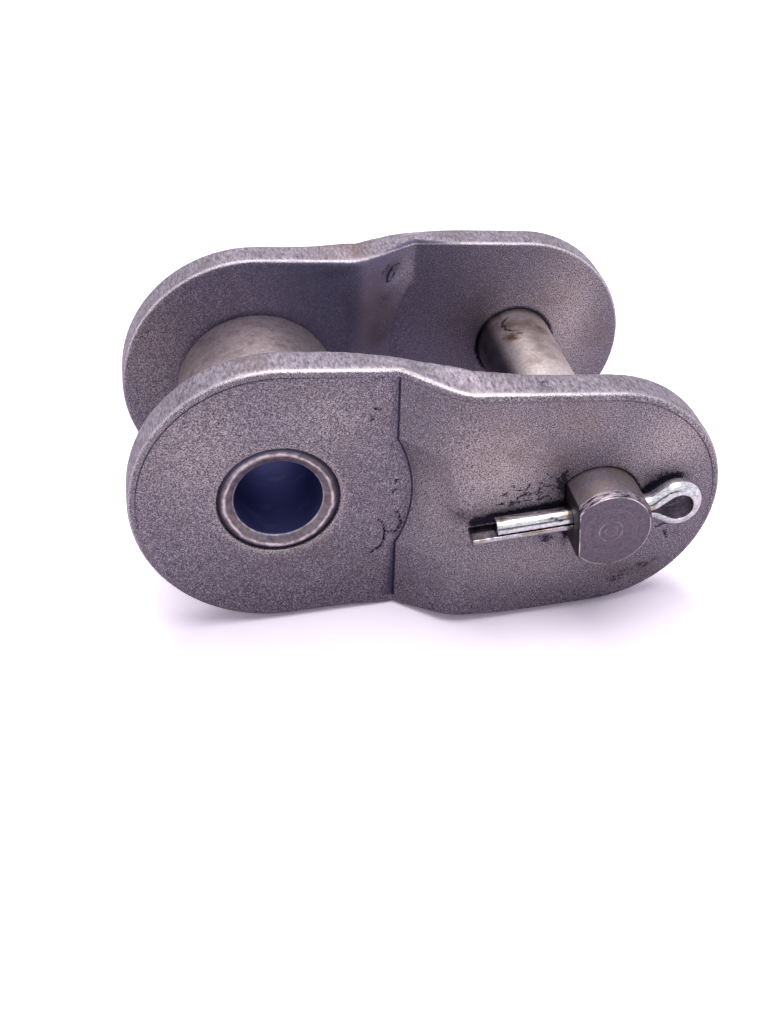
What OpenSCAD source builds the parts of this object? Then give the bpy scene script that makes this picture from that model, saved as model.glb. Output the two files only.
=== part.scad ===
// Offset link of a roller chain with a 2 inch pitch. Two cranked plates stand close together on a
// pressed-in bush at one end and wide apart on a connecting pin at the other. A roller turns on the
// bush, and a split pin through the end of the connecting pin keeps it from drawing out.
// Millimetres. The origin is on the bush axis, midway between the plates. X runs along the pitch
// line to the connecting pin, Y along the bush, away from the split pin, and Z is up.

/* [Chain] */
// Distance from the bush axis to the connecting pin axis
pitch = 50.8; // [50:0.1:56]
// Clear width between the plates at the bush end
inner_width = 31.75; // [24:0.05:40]
// Gap from the side of a neighbouring bush end to the plate that runs beside it
side_gap = 1.5; // [0.5:0.1:2.5]
// Gap round the rim of a neighbouring plate where the crank is relieved for it
head_gap = 1; // [0.5:0.1:1.8]

/* [Plates] */
// Thickness of each plate
plate_t = 6.4; // [5.6:0.1:7.2]
// Height of the plates at the bush end
bush_end_h = 48.2; // [46:0.1:49]
// Height of the plates at the pin end
pin_end_h = 41.6; // [38:0.1:43]
// Distance from the bush axis to the crease on the outer face
outer_crease_x = 19.2; // [17.5:0.1:20.5]
// Slope of the crank on the outer face, in degrees
outer_slope = 43; // [38:1:46]
// Distance from the bush axis to the bend on the inner face
inner_bend_x = 19; // [18:0.1:20.5]
// Slope of the crank on the inner face, in degrees
inner_slope = 35; // [33:1:40]
// Lean of the wall of the relief on the outer face, in degrees
relief_draft = 30; // [0:1:35]
// Radius in the hollow of each bend
bend_in_r = 1; // [0.6:0.1:1.5]
// Radius over the back of each bend
bend_out_r = 7; // [4:0.1:8]
// Height by which a rim swells in the hollow of a bend and draws in over its back
rim_swell = 0.8; // [0:0.1:1.2]
// Reach of that swell along the plate, to either side of the bend
swell_reach = 6; // [4:0.5:8]
// Rounding along the edges of the outer face
outer_edge_r = 1; // [0.4:0.1:1.6]
// Rounding along the edges of the inner face
inner_edge_r = 0.5; // [0.3:0.1:1.2]

/* [Bush and roller] */
// Outside diameter of the bush, and of the holes that it is pressed into
bush_d = 20; // [19:0.1:21]
// Bore of the bush
bush_bore_d = 14.4; // [13:0.1:15.5]
// Depth of the bush ends below the outer faces of the plates
bush_sink = 0.15; // [0.05:0.05:0.6]
// Width of the chamfer round each end of the bush
bush_chamfer = 0.8; // [0.4:0.1:1.2]
// Width of the shallow countersink in each end of the bore
bore_sink_w = 1.3; // [0.5:0.1:1.4]
// Depth of that countersink
bore_sink_h = 0.8; // [0.3:0.1:1]
// Diameter of the roller
roller_d = 28.58; // [27:0.01:30]
// Gap round the bush inside the roller
roller_fit = 0.08; // [0.04:0.01:0.1]
// Gap between each end of the roller and the plate beside it
roller_side_gap = 0.35; // [0.3:0.05:0.8]
// Rounding at the ends of the roller
roller_edge_r = 1.6; // [0.5:0.1:2]

/* [Connecting pin] */
// Diameter of the pin
pin_d = 14.28; // [13.6:0.02:15]
// Gap round the pin in the plate holes
pin_fit = 0.12; // [0.08:0.02:0.3]
// Length of pin that stands out of the plate on the split pin side
pin_out_near = 7.4; // [6.4:0.1:9]
// Length of pin that stands out of the other plate
pin_out_far = 1.6; // [0.8:0.1:3]
// Depth of the flat that keys the pin in its hole
flat_depth = 2; // [1.2:0.1:2.2]
// Gap between that flat and the straight side of the hole
flat_gap = 0.5; // [0.5:0.05:0.7]
// Turn of the pin within that gap, in degrees
pin_turn = 5; // [0:0.5:5]
// Gap between the shoulder of the flat and the plate
shoulder_gap = 0.1; // [0.05:0.05:0.5]
// Length of the taper at the split pin end
pin_taper_l = 1.3; // [0.6:0.1:1.6]
// Depth of that taper
pin_taper_w = 0.65; // [0.3:0.05:0.9]
// Chamfer at the other end
pin_chamfer = 0.7; // [0.3:0.1:1.2]

/* [Split pin] */
// Diameter over the two legs together
split_d = 3.8; // [3.4:0.1:4]
// Gap round the legs in the hole of the connecting pin
split_fit = 0.2; // [0.15:0.05:0.35]
// Gap between that hole and the plate
split_plate_gap = 0.25; // [0.15:0.05:1]
// Slit between the flats of the two legs
split_slit = 0.3; // [0.2:0.05:0.5]
// Length of the long leg, from the pin axis
long_leg = 21.6; // [18:0.1:25]
// Length of the short leg, from the pin axis
short_leg = 17.5; // [14:0.1:18]
// Height of the opening in the eye
eye_h = 4.6; // [3:0.1:5]
// Distance from the side of the connecting pin to the middle of the eye
eye_out = 5.3; // [4.8:0.1:6.5]
// Radius over the outside of each leg where it bends out into the eye
neck_r = 1.5; // [1:0.1:2.5]

/* [Smoothness] */
// Steps round each quarter of a plate end
end_steps = 20; // [12:1:32]
// Steps along the crank
crank_steps = 30; // [20:1:48]
// Steps along each run of the rim beside the crank
swell_steps = 7; // [4:1:12]

/* [Hidden] */
$fn = 96;

// Half widths to the faces of the plates, at the narrow and at the wide end
narrow_in = inner_width / 2;
narrow_out = narrow_in + plate_t;
wide_in = narrow_out + side_gap;
wide_out = wide_in + plate_t;
crank_step = wide_in - narrow_in;

// Where the crank ends on each face, at the sharp corner before the bend is rounded
outer_bend_end = outer_crease_x + crank_step / tan(outer_slope);
inner_bend_end = inner_bend_x + crank_step / tan(inner_slope);

// Radii of the plate ends, and the slope of the straight edges that run tangent to both
bush_end_r = bush_end_h / 2;
pin_end_r = pin_end_h / 2;
edge_slope = asin((bush_end_r - pin_end_r) / pitch);

// The crank is relieved round the two plate ends of the neighbouring links
outer_relief_r = pin_end_r + head_gap;
inner_relief_r = bush_end_r + head_gap;
relief_floor = 0.05;

// Lengths and radii that follow from the fits
bush_half_l = narrow_out - bush_sink;
bush_wall = (bush_d - bush_bore_d) / 2;
roller_half_l = narrow_in - roller_side_gap;
pin_r = pin_d / 2;
pin_hole_r = pin_r + pin_fit;
flat_x = pin_r - flat_depth;
pin_near_y = wide_out + pin_out_near;
pin_far_y = wide_out + pin_out_far;
shoulder_y = wide_in - shoulder_gap;
split_r = split_d / 2;
split_hole_r = split_r + split_fit;
split_y = wide_out + split_plate_gap + split_hole_r;

// Bend from the legs of the split pin into its eye, where the flat of the wire runs straight from
// the neck on to the round of the eye
eye_r = eye_h / 2;
eye_x = pin_r + eye_out;
neck_x = pin_r + split_fit;
neck_flat_r = neck_r + split_r;
neck_h = neck_flat_r + split_slit / 2;
eye_dx = eye_x - neck_x;
wire_lap = 0.03;
eye_spread = asin((eye_r + neck_flat_r) / norm([eye_dx, neck_h])) - atan2(neck_h, eye_dx);

// Distance of a plate face from the middle of the link: flat, crank and flat, with both bends round
function face_y(x, y0, x0, slope, r0, r1) =
    let (t0 = r0 * tan(slope / 2))
    let (t1 = r1 * tan(slope / 2))
    let (x1 = x0 + crank_step / tan(slope))
    x < x0 - t0 ? y0 :
    x < x0 + t0 * cos(slope) ? y0 + r0 - sqrt(r0 * r0 - (x - x0 + t0) ^ 2) :
    x < x1 - t1 * cos(slope) ? y0 + (x - x0) * tan(slope) :
    x < x1 + t1 ? y0 + crank_step - r1 + sqrt(r1 * r1 - (x1 + t1 - x) ^ 2) :
    y0 + crank_step;

function outer_y(x) = face_y(x, narrow_out, outer_crease_x, outer_slope, bend_in_r, bend_out_r);
function inner_y(x) = face_y(x, narrow_in, inner_bend_x, inner_slope, bend_out_r, bend_in_r);

// Height that the press adds to a rim in the hollow of a bend, and takes from it over the back
function hump(x, middle) = exp(-(((x - middle) / swell_reach) ^ 2));

function swell(x, hollow_x, back_x) = rim_swell * (hump(x, hollow_x) - hump(x, back_x));

function outer_swell(x) = swell(x, outer_crease_x, outer_bend_end);
function inner_swell(x) = swell(x, inner_bend_end, inner_bend_x);

// Upper half of the plate outline drawn in by an inset, from the bush end to the pin end
function arc_points(x, r, a0, a1) =
    [for (i = [0 : end_steps]) let (a = a0 + (a1 - a0) * i / end_steps) [x + r * cos(a), r * sin(a)]];

function edge_z(x, inset) = (bush_end_r - inset - x * sin(edge_slope)) / cos(edge_slope);

function edge_points(x0, x1, steps, inset) =
    [for (i = [0 : steps]) let (x = x0 + (x1 - x0) * i / steps) [x, edge_z(x, inset)]];

function upper_half(inset) =
    let (x0 = inner_bend_x - 3)
    let (x1 = inner_bend_end + 1)
    concat(
        arc_points(0, bush_end_r - inset, 180, 90 - edge_slope),
        edge_points(x0 - 12, x0 - 1.5, swell_steps, inset),
        edge_points(x0, x1, crank_steps, inset),
        edge_points(x1 + 1.5, x1 + 12, swell_steps, inset),
        arc_points(pitch, pin_end_r - inset, 90 - edge_slope, 0)
    );

// The whole outline, where point i and point count - i lie above one another
function outline(inset) =
    let (top = upper_half(inset))
    concat(top, [for (i = [len(top) - 2 : -1 : 1]) [top[i].x, -top[i].y]]);

// Rings of points round the rim: over the outer edge, across the rim and over the inner edge
function outer_ring(a) =
    let (sink = outer_edge_r * (1 - cos(a)))
    [for (p = outline(outer_edge_r * (1 - sin(a)))) [p.x, sink - outer_y(p.x), p.y + sign(p.y) * outer_swell(p.x)]];

function inner_ring(a) =
    let (sink = inner_edge_r * (1 - cos(a)))
    [for (p = outline(inner_edge_r * (1 - sin(a)))) [p.x, -sink - inner_y(p.x), p.y + sign(p.y) * inner_swell(p.x)]];

// Triangles between neighbouring rings, and across the first and the last ring
function band(k, n) =
    [for (i = [0 : n - 1]) each let (a = k * n + i) let (b = k * n + (i + 1) % n)
        [[a, b, a + n], [b, b + n, a + n]]];

function cap(k, n) =
    [for (i = [0 : n / 2 - 1]) each let (a = k * n + i) let (b = k * n + (n - i) % n)
        concat(
            i > 0 ? [[a, b, a + 1]] : [],
            i < n / 2 - 1 ? [[a + 1, b, k * n + n - i - 1]] : []
        )];

// One plate on the near side, cranked and with its edges rounded, before any hole
module plate_blank() {
    rings = [outer_ring(0), outer_ring(30), outer_ring(60), outer_ring(90),
             inner_ring(90), inner_ring(45), inner_ring(0)];
    count = len(rings[0]);
    last = len(rings) - 1;
    polyhedron(
        points = [for (r = rings) each r],
        faces = concat(
            cap(0, count),
            [for (k = [0 : last - 1]) each band(k, count)],
            [for (f = cap(last, count)) [f[2], f[1], f[0]]]
        )
    );
}

// A round bar along Y from one distance in front of the middle plane to another, which may widen
module bar_y(r, from, to, draft = 0) {
    translate([0, -from, 0]) rotate([90, 0, 0])
        cylinder(r1 = r, r2 = r + (to - from) * tan(draft), h = to - from);
}

// The near plate with its bush hole and the reliefs for the neighbouring plates
module drilled_plate() {
    difference() {
        plate_blank();
        bar_y(bush_d / 2, narrow_in - 1, wide_out + 1);
        bar_y(outer_relief_r, narrow_out + relief_floor, wide_out + 1, relief_draft);
        translate([pitch, 0, 0]) bar_y(inner_relief_r, narrow_in - 1, wide_in - relief_floor);
    }
}

// Plate on the split pin side, whose pin hole has one straight side
module near_link_plate() {
    color("#7b7276") difference() {
        drilled_plate();
        translate([pitch, 0, 0]) difference() {
            bar_y(pin_hole_r, wide_in - 1, wide_out + 1);
            translate([-flat_x - flat_gap - pin_d, -wide_out - 2, -pin_d])
                cube([pin_d, plate_t + 4, 2 * pin_d]);
        }
    }
}

// Plate on the other side, with a round pin hole
module far_link_plate() {
    color("#746b71") mirror([0, 1, 0]) difference() {
        drilled_plate();
        translate([pitch, 0, 0]) bar_y(pin_hole_r, wide_in - 1, wide_out + 1);
    }
}

// Bush, chamfered outside and countersunk inside at both ends, and pressed into the plates. In a thin
// wall both cuts stay narrow enough to leave a flat between them.
module bush() {
    bore_r = bush_bore_d / 2;
    chamfer = min(bush_chamfer, 0.3 * bush_wall);
    sink_r = bore_r + min(bore_sink_w, 0.5 * bush_wall);
    color("#8d8789") rotate([90, 0, 0]) rotate_extrude() polygon([
        [bore_r, -bush_half_l + bore_sink_h],
        [sink_r, -bush_half_l],
        [bush_d / 2 - chamfer, -bush_half_l],
        [bush_d / 2, -bush_half_l + chamfer],
        [bush_d / 2, bush_half_l - chamfer],
        [bush_d / 2 - chamfer, bush_half_l],
        [sink_r, bush_half_l],
        [bore_r, bush_half_l - bore_sink_h]
    ]);
}

// Roller, a plain sleeve with rounded ends that turns on the bush
module roller() {
    bore_r = bush_d / 2 + roller_fit;
    rim_r = roller_d / 2;
    color("#8f8680") rotate([90, 0, 0]) rotate_extrude() union() {
        translate([bore_r, -roller_half_l])
            square([rim_r - roller_edge_r - bore_r, 2 * roller_half_l]);
        translate([bore_r, -roller_half_l + roller_edge_r])
            square([rim_r - bore_r, 2 * (roller_half_l - roller_edge_r)]);
        for (side = [-1, 1])
            translate([rim_r - roller_edge_r, side * (roller_half_l - roller_edge_r)])
                circle(r = roller_edge_r);
    }
}

// Connecting pin, keyed by a flat in the near plate and cross-drilled for the split pin
module connecting_pin() {
    color("#857d78") translate([pitch, 0, 0]) rotate([0, -pin_turn, 0]) difference() {
        rotate([90, 0, 0]) rotate_extrude() polygon([
            [0, -pin_far_y],
            [pin_r - pin_chamfer, -pin_far_y],
            [pin_r, -pin_far_y + pin_chamfer],
            [pin_r, pin_near_y - pin_taper_l],
            [pin_r - pin_taper_w, pin_near_y],
            [0, pin_near_y]
        ]);
        translate([-flat_x - pin_d, -pin_near_y - 1, -pin_d])
            cube([pin_d, pin_near_y + 1 - shoulder_y, 2 * pin_d]);
        translate([-pin_d, -split_y, 0]) rotate([0, 90, 0]) cylinder(r = split_hole_r, h = 2 * pin_d);
    }
}

// Section of the split pin wire: a half round with its flat on the Y axis, bulging to one side
module half_round(side) {
    intersection() {
        circle(r = split_r);
        translate([side > 0 ? 0 : -split_r, -split_r]) square([split_r, 2 * split_r]);
    }
}

// A straight stretch of that wire along X, just fine enough to run into the bends at its ends
module straight_wire(length) {
    rotate([90, 0, 90]) linear_extrude(length) intersection() {
        circle(r = split_r - wire_lap);
        translate([wire_lap, -split_r]) square([split_r, 2 * split_r]);
    }
}

// Upper half of the split pin in its own plane: leg, neck and the run up to the eye
module split_pin_half(leg) {
    run_x = neck_x + neck_flat_r * sin(eye_spread);
    run_y = neck_h - neck_flat_r * cos(eye_spread);
    run_l = norm([eye_x - eye_r * sin(eye_spread) - run_x, eye_r * cos(eye_spread) - run_y]);
    translate([-leg, split_slit / 2, 0]) straight_wire(leg + neck_x + wire_lap);
    translate([neck_x, neck_h, 0]) rotate([0, 0, -90]) rotate_extrude(angle = eye_spread)
        translate([neck_flat_r, 0]) half_round(-1);
    translate([run_x, run_y, 0]) rotate([0, 0, eye_spread]) translate([-wire_lap, 0, 0])
        straight_wire(run_l + 2 * wire_lap);
}

// Split pin of half round wire, folded into an eye, with its lower leg the longer one
module split_pin() {
    color("#cfccc4") translate([pitch, -split_y, 0]) rotate([0, -pin_turn, 0]) rotate([90, 0, 0])
        union() {
            split_pin_half(short_leg);
            mirror([0, 1, 0]) split_pin_half(long_leg);
            translate([eye_x, 0, 0]) rotate([0, 0, -90 - eye_spread])
                rotate_extrude(angle = 180 + 2 * eye_spread) translate([eye_r, 0]) half_round(1);
        }
}

near_link_plate();
far_link_plate();
bush();
roller();
connecting_pin();
split_pin();
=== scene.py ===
import math

import bmesh
import bpy
import numpy as np
from mathutils import Matrix, Vector


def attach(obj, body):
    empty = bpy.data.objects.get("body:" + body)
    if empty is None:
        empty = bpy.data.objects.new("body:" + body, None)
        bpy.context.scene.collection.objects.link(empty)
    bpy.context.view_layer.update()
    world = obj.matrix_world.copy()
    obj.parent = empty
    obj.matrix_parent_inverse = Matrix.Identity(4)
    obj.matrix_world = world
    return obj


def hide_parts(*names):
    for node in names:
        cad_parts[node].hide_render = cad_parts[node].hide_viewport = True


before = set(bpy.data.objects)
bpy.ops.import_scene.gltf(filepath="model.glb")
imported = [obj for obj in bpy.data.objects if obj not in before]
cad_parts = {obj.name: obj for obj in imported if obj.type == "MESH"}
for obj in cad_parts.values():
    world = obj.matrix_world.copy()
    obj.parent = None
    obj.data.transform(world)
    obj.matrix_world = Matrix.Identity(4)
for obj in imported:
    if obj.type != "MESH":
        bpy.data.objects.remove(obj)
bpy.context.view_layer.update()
MM = 0.001


# Link plates. Each is blanked from 6.4 mm steel plate, cranked in a press, heat-treated and
# shot-peened to an even matt grey. The pair are mirror forms, pressed on one bush at the narrow end.
def srgb(code):
    """Linear RGBA of an sRGB hex colour."""
    parts = [int(code[i:i + 2], 16) / 255 for i in (1, 3, 5)]
    return [c / 12.92 if c <= 0.04045 else ((c + 0.055) / 1.055) ** 2.4 for c in parts] + [1.0]


def add(tree, kind, links=None, **settings):
    """A shader node with its settings; links gives each input a value or another node's output.

    Inputs go by name or number. MapRange has 0 value, 1 and 2 from, 3 and 4 to; Mix has 0 factor,
    2 and 3 for two numbers, 6 and 7 for two colours.
    """
    made = tree.nodes.new("ShaderNode" + kind)
    for key, value in settings.items():
        setattr(made, key, value)
    for key, value in (links or {}).items():
        if isinstance(value, bpy.types.NodeSocket):
            tree.links.new(value, made.inputs[key])
        else:
            made.inputs[key].default_value = value
    return made


def new_material(name, metallic):
    """An empty node material and its shader."""
    material = bpy.data.materials.new(name)
    material.use_nodes = True
    shader = material.node_tree.nodes["Principled BSDF"]
    shader.inputs["Metallic"].default_value = metallic
    return material, material.node_tree, shader


def to_object(bm, name):
    """A new object in the scene from a bmesh, which is used up."""
    mesh = bpy.data.meshes.new(name)
    bm.to_mesh(mesh)
    bm.free()
    piece = bpy.data.objects.new(name, mesh)
    bpy.context.scene.collection.objects.link(piece)
    return piece

def merged_copy(node, name):
    """A new object from a CAD node, with its loose triangles merged into one closed mesh."""
    bm = bmesh.new()
    bm.from_mesh(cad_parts[node].data)
    bmesh.ops.remove_doubles(bm, verts=bm.verts, dist=0.001 * MM)
    return to_object(bm, name)


def apply_modifiers(piece):
    """Bakes the modifiers of a piece into its mesh."""
    shaped = piece.evaluated_get(bpy.context.evaluated_depsgraph_get())
    mesh = bpy.data.meshes.new_from_object(shaped)
    piece.modifiers.clear()
    piece.data = mesh


def soft_skin(piece, voxel, rounds):
    """Gives a hard-edged piece one even skin with softened edges."""
    remesh = piece.modifiers.new("skin", "REMESH")
    remesh.mode = "VOXEL"
    remesh.voxel_size = voxel * MM
    remesh.use_smooth_shade = True
    smooth = piece.modifiers.new("soften", "SMOOTH")
    smooth.factor = 0.5
    smooth.iterations = rounds
    apply_modifiers(piece)


PITCH = 50.8
BUSH_END_R = 24.1
PIN_END_R = 20.8
CREASE_X = 19.2
RELIEF_R = 21.8
CRANK_TOP_X = 30.43
CRANK_BEND_X = 25.65
CRANK_SLOPE = 0.9325
CRANK_R = 7
CRANK_STEP = 7.9
NARROW_OUT = 22.275
NARROW_MIDDLE = 19.1


def inside_edge(x, z):
    """Distance in mm from a point of a plate to the plate's outline, seen from the side."""
    across = np.abs(z)
    lean = (BUSH_END_R - PIN_END_R) / PITCH
    level = math.sqrt(1 - lean * lean)
    along = -lean * across + level * x
    bush_end = BUSH_END_R - np.hypot(x, across)
    pin_end = PIN_END_R - np.hypot(x - PITCH, across)
    straight = BUSH_END_R - (level * across + lean * x)
    return np.where(along < 0, bush_end, np.where(along > level * PITCH, pin_end, straight))


def hump(x, middle, reach):
    """A smooth rise to 1 at the middle."""
    return np.exp(-((x - middle) / reach) ** 2)


def blots(x, z, places):
    """Soft round marks: each place is x, z, half length, half height, strength."""
    total = np.zeros_like(x)
    for px, pz, rx, rz, strength in places:
        total = np.maximum(total, strength * hump(x, px, rx) * hump(z, pz, rz))
    return total


def to_lines(x, z, lines):
    """Distance in mm from each point to the nearest of some crooked lines."""
    nearest = np.full_like(x, 50)
    for line in lines:
        for (ax, az), (bx, bz) in zip(line, line[1:]):
            dx, dz = bx - ax, bz - az
            part = np.clip(((x - ax) * dx + (z - az) * dz) / (dx ** 2 + dz ** 2), 0, 1)
            nearest = np.minimum(nearest, np.hypot(x - ax - part * dx, z - az - part * dz))
    return nearest


def at_vertices(mesh, kind):
    """Three numbers for each vertex, its place (co) or its normal."""
    values = np.empty(len(mesh.vertices) * 3, np.float32)
    mesh.vertices.foreach_get(kind, values)
    return values.reshape(-1, 3)

def paint(mesh, name, *parts):
    """Keeps up to four numbers at each vertex under one name."""
    values = np.zeros((len(mesh.vertices), 4), np.float32)
    for column, part in enumerate(parts):
        values[:, column] = part
    mesh.attributes.new(name, "FLOAT_COLOR", "POINT").data.foreach_set("color", values.ravel())


def weather_plate(plate, out, lift, outer, inner):
    """Evens the upper rim, presses in crease, dents and cracks, and keeps where wear, marks, painted shade
    and painted highlight lie.

    out is the side the outer face looks to; lift gives the rise of the upper outer and inner edge.
    """
    mesh = plate.data
    place = at_vertices(mesh, "co") / MM
    normal = at_vertices(mesh, "normal")
    x, y, z = place[:, 0].copy(), place[:, 1] * out, place[:, 2].copy()
    facing = normal[:, 1] * out
    depth = inside_edge(x, z)
    on_outer = np.clip((facing - 0.2) / 0.3, 0, 1)
    on_inner = np.clip((-facing - 0.2) / 0.3, 0, 1)
    start = np.maximum(CREASE_X, np.sqrt(np.maximum(RELIEF_R ** 2 - z * z, 0)))
    fold = start - x
    crack = np.where(facing > 0, to_lines(x, z, outer["crack"]), to_lines(x, z, inner["crack"]))
    bent = x + 0.4 * np.sin(3.2 * z + x), z + 0.35 * np.sin(2.7 * x - z)
    scratch = np.where(facing > 0, to_lines(*bent, outer["scratch"]), to_lines(*bent, inner["scratch"]))

    # At half height the crank starts from the round relief and runs up steeper to the same top.
    drawn = CREASE_X + (x - start) * (CRANK_TOP_X - CREASE_X) / (CRANK_TOP_X - start)
    ramp = (drawn - CREASE_X) * CRANK_SLOPE
    bend = CRANK_STEP - CRANK_R + np.sqrt(np.maximum(CRANK_R ** 2 - (CRANK_TOP_X - drawn) ** 2, 0))
    climb = np.where(drawn < CRANK_BEND_X, ramp, bend)
    on_crank = (facing > 0.3) & (np.abs(z) < 10.6) & (x > start) & (x < CRANK_TOP_X)
    place[:, 1] = np.where(on_crank, out * (NARROW_OUT + climb), place[:, 1])

    middle_y = NARROW_MIDDLE + np.clip((x - CREASE_X) * 0.8, 0, CRANK_STEP)
    to_outer = np.clip(0.5 + (y - middle_y) / 6, 0, 1)
    near_rim = np.clip(1 - depth / 7, 0, 1) ** 2 * (z > 0)
    outer_rise = lift[0] * (hump(x, CREASE_X, 6) - hump(x, 27.7, 6))
    rise = to_outer * outer_rise + (1 - to_outer) * lift[1] * hump(x, 19, 6)
    press = 0.1 * hump(fold, 0.1, 0.4) * on_outer + 0.08 * hump(crack, 0, 0.3)
    flake = blots(x, y, outer["flake"]) * (z > 10) * (1 - on_outer - on_inner)
    dents = blots(x, z, outer["dent"]) * on_outer + blots(x, z, inner["dent"]) * on_inner
    press = press + 0.2 * flake + dents
    place -= normal * press[:, None]
    place[:, 2] += near_rim * rise
    mesh.vertices.foreach_set("co", (place * MM).ravel())
    mesh.update()

    depth = inside_edge(x, place[:, 2])
    upper = np.clip((z + 4) / 16, 0.1, 1)
    along = np.clip(1.25 - np.abs(x - 25) / 40, 0.2, 1)
    at_ends = np.clip((np.abs(x - 28) - 32) / 8, 0, 1) * np.clip((z + 16) / 10, 0.5, 1)
    # Where the edges are rubbed bright and carry a painted highlight, strongest along the top.
    edge = on_outer * np.maximum(upper * along, 0.45 * at_ends) + on_inner * upper * 0.7
    rim = np.clip((0.75 - np.abs(facing)) / 0.25, 0, 1) * np.clip((2.2 - depth) / 0.6, 0, 1)
    # Painted shade in the fold of the crank, widest low on the face and faint near the rim.
    band = np.where(z < -9, 0.5 + (-9 - z) / 11, np.where(z < 10, 1.2, 1.1))
    crease = np.where(z < -9, 0.9, np.where(z < 10, 0.35, 0.45)) * np.clip((depth - 1.1) / 0.6, 0, 1)
    crease = crease * on_outer * np.where(fold > 0, hump(fold, 0, band), hump(fold, 0, 0.15))
    brown, dark, pale = [blots(x, z, outer[kind]) * on_outer + blots(x, z, inner[kind]) * on_inner
                         for kind in ("brown", "dark", "pale")]
    # Painted shade: a thin dark line just inside the rounded edge, strongest towards the top.
    edge_shade_line = np.clip((z + 8) / 16, 0, 1) * on_outer * np.clip(np.abs(x - 32) / 40 - 0.1, 0.25, 0.85)
    # Painted shade: a dark ring round the pin where it enters the far plate's inner face.
    dark = np.maximum(dark, hump(np.hypot(x - PITCH, z), 7.5, 0.45) * on_inner)
    # Painted shade: the outer face darkens towards its lower edge.
    dark = np.maximum(dark, np.clip((-z - 6) / 30, 0, 0.45) * on_outer)
    dark = np.maximum(dark, 0.75 * hump(flake, 0.45, 0.2) * (x < 41.8))
    brown = np.maximum(brown, blots(x, y, outer["rust"]) * rim * (z > 10))
    # Painted shadow and dirt in bands on the plate above the split pin's legs and above its eye.
    dark = np.maximum(dark, np.clip(1.7 - to_lines(x, z, outer["smear_and_shadow"]) / 0.8, 0, 1) * on_outer)
    # Painted shade: the inner faces, which look into the gap between the plates, are darkened to a bluish
    # grey, most near the roller.
    inner_shade = on_inner * np.clip(1.15 - np.abs(x - 14) / 34, 0.15, 1)
    pale = np.maximum(pale, 0.4 * hump(np.hypot(x, z), 10.3, 0.7) * on_outer)
    paint(mesh, "lines", depth, fold, crack, scratch)
    paint(mesh, "areas", edge, rim, crease, inner_shade)
    paint(mesh, "marks", brown, dark, pale, edge_shade_line)


def stripe(tree, value, middle, core, reach, strength=1.0):
    """A soft line where a value comes near its middle: full within core, nothing beyond reach."""
    away = add(tree, "Math", {0: value, 1: middle}, operation="SUBTRACT").outputs[0]
    away = add(tree, "Math", {0: away}, operation="ABSOLUTE").outputs[0]
    return add(tree, "MapRange", {0: away, 1: core, 2: reach, 3: strength, 4: 0.0}).outputs[0]

# Shot-peened steel: fine light and dark specks of the dimples on a matt grey, a coarser sheared rim, edges
# rubbed bright under a painted highlight, and painted shade in the fold of the crank.
shot_peened_steel, tree, shader = new_material("shot_peened_steel", 1.0)
spot = add(tree, "TexCoord").outputs["Object"]
far_from = add(tree, "Attribute", attribute_name="lines").outputs
lines = add(tree, "SeparateColor", {0: far_from["Color"]}).outputs
areas = add(tree, "Attribute", attribute_name="areas").outputs
area = add(tree, "SeparateColor", {0: areas["Color"]}).outputs
marks = add(tree, "Attribute", attribute_name="marks").outputs
mark = add(tree, "SeparateColor", {0: marks["Color"]}).outputs
speck = add(tree, "TexNoise", {"Vector": spot, "Scale": 1 / (0.2 * MM), "Detail": 2.0,
                               "Roughness": 0.7}).outputs[0]
patch = add(tree, "TexNoise", {"Vector": spot, "Scale": 1 / (6 * MM), "Detail": 5.0,
                               "Roughness": 0.65}).outputs[0]
shear_spot = add(tree, "Mapping", {"Vector": spot, "Scale": (1.0, 0.3, 1.0)}).outputs[0]
shear = add(tree, "TexNoise", {"Vector": shear_spot, "Scale": 1 / (0.42 * MM), "Detail": 4.0,
                               "Roughness": 0.7}).outputs[0]
tone = add(tree, "MapRange", {0: speck, 1: 0.37, 2: 0.58}).outputs[0]
face = add(tree, "Mix", {0: tone, 6: srgb("#534c5a"), 7: srgb("#938c97")}, data_type="RGBA").outputs[2]
glint = add(tree, "MapRange", {0: speck, 1: 0.58, 2: 0.7, 4: 0.9}).outputs[0]
face = add(tree, "Mix", {0: glint, 6: face, 7: srgb("#dcd3db")}, data_type="RGBA").outputs[2]
warm = add(tree, "MapRange", {0: patch, 1: 0.48, 2: 0.72, 4: 0.35}).outputs[0]
face = add(tree, "Mix", {0: warm, 6: face, 7: srgb("#7a6c69")}, data_type="RGBA").outputs[2]
bright = add(tree, "Mix", {0: tone, 6: srgb("#2e262b"), 7: srgb("#f2e5e1")}, data_type="RGBA").outputs[2]
face = add(tree, "Mix", {0: mark[2], 6: face, 7: bright}, data_type="RGBA").outputs[2]
# Painted bluish shade on the inner faces.
inner_shade = add(tree, "Math", {0: areas["Alpha"], 1: 0.72}, operation="MULTIPLY").outputs[0]
face = add(tree, "Mix", {0: inner_shade, 6: face, 7: srgb("#6c6b88")}, data_type="RGBA").outputs[2]
tone = add(tree, "MapRange", {0: shear, 1: 0.3, 2: 0.7}).outputs[0]
rim = add(tree, "Mix", {0: tone, 6: srgb("#544c59"), 7: srgb("#b6abb6")}, data_type="RGBA").outputs[2]
tone = add(tree, "MapRange", {0: patch, 1: 0.5, 2: 0.65, 4: 0.45}).outputs[0]
rim = add(tree, "Mix", {0: tone, 6: rim, 7: srgb("#6f6766")}, data_type="RGBA").outputs[2]
colour = add(tree, "Mix", {0: area[1], 6: face, 7: rim}, data_type="RGBA").outputs[2]
tone = add(tree, "MapRange", {0: patch, 1: 0.3, 2: 0.6}).outputs[0]
tone = add(tree, "Math", {0: mark[0], 1: tone}, operation="MULTIPLY").outputs[0]
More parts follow.
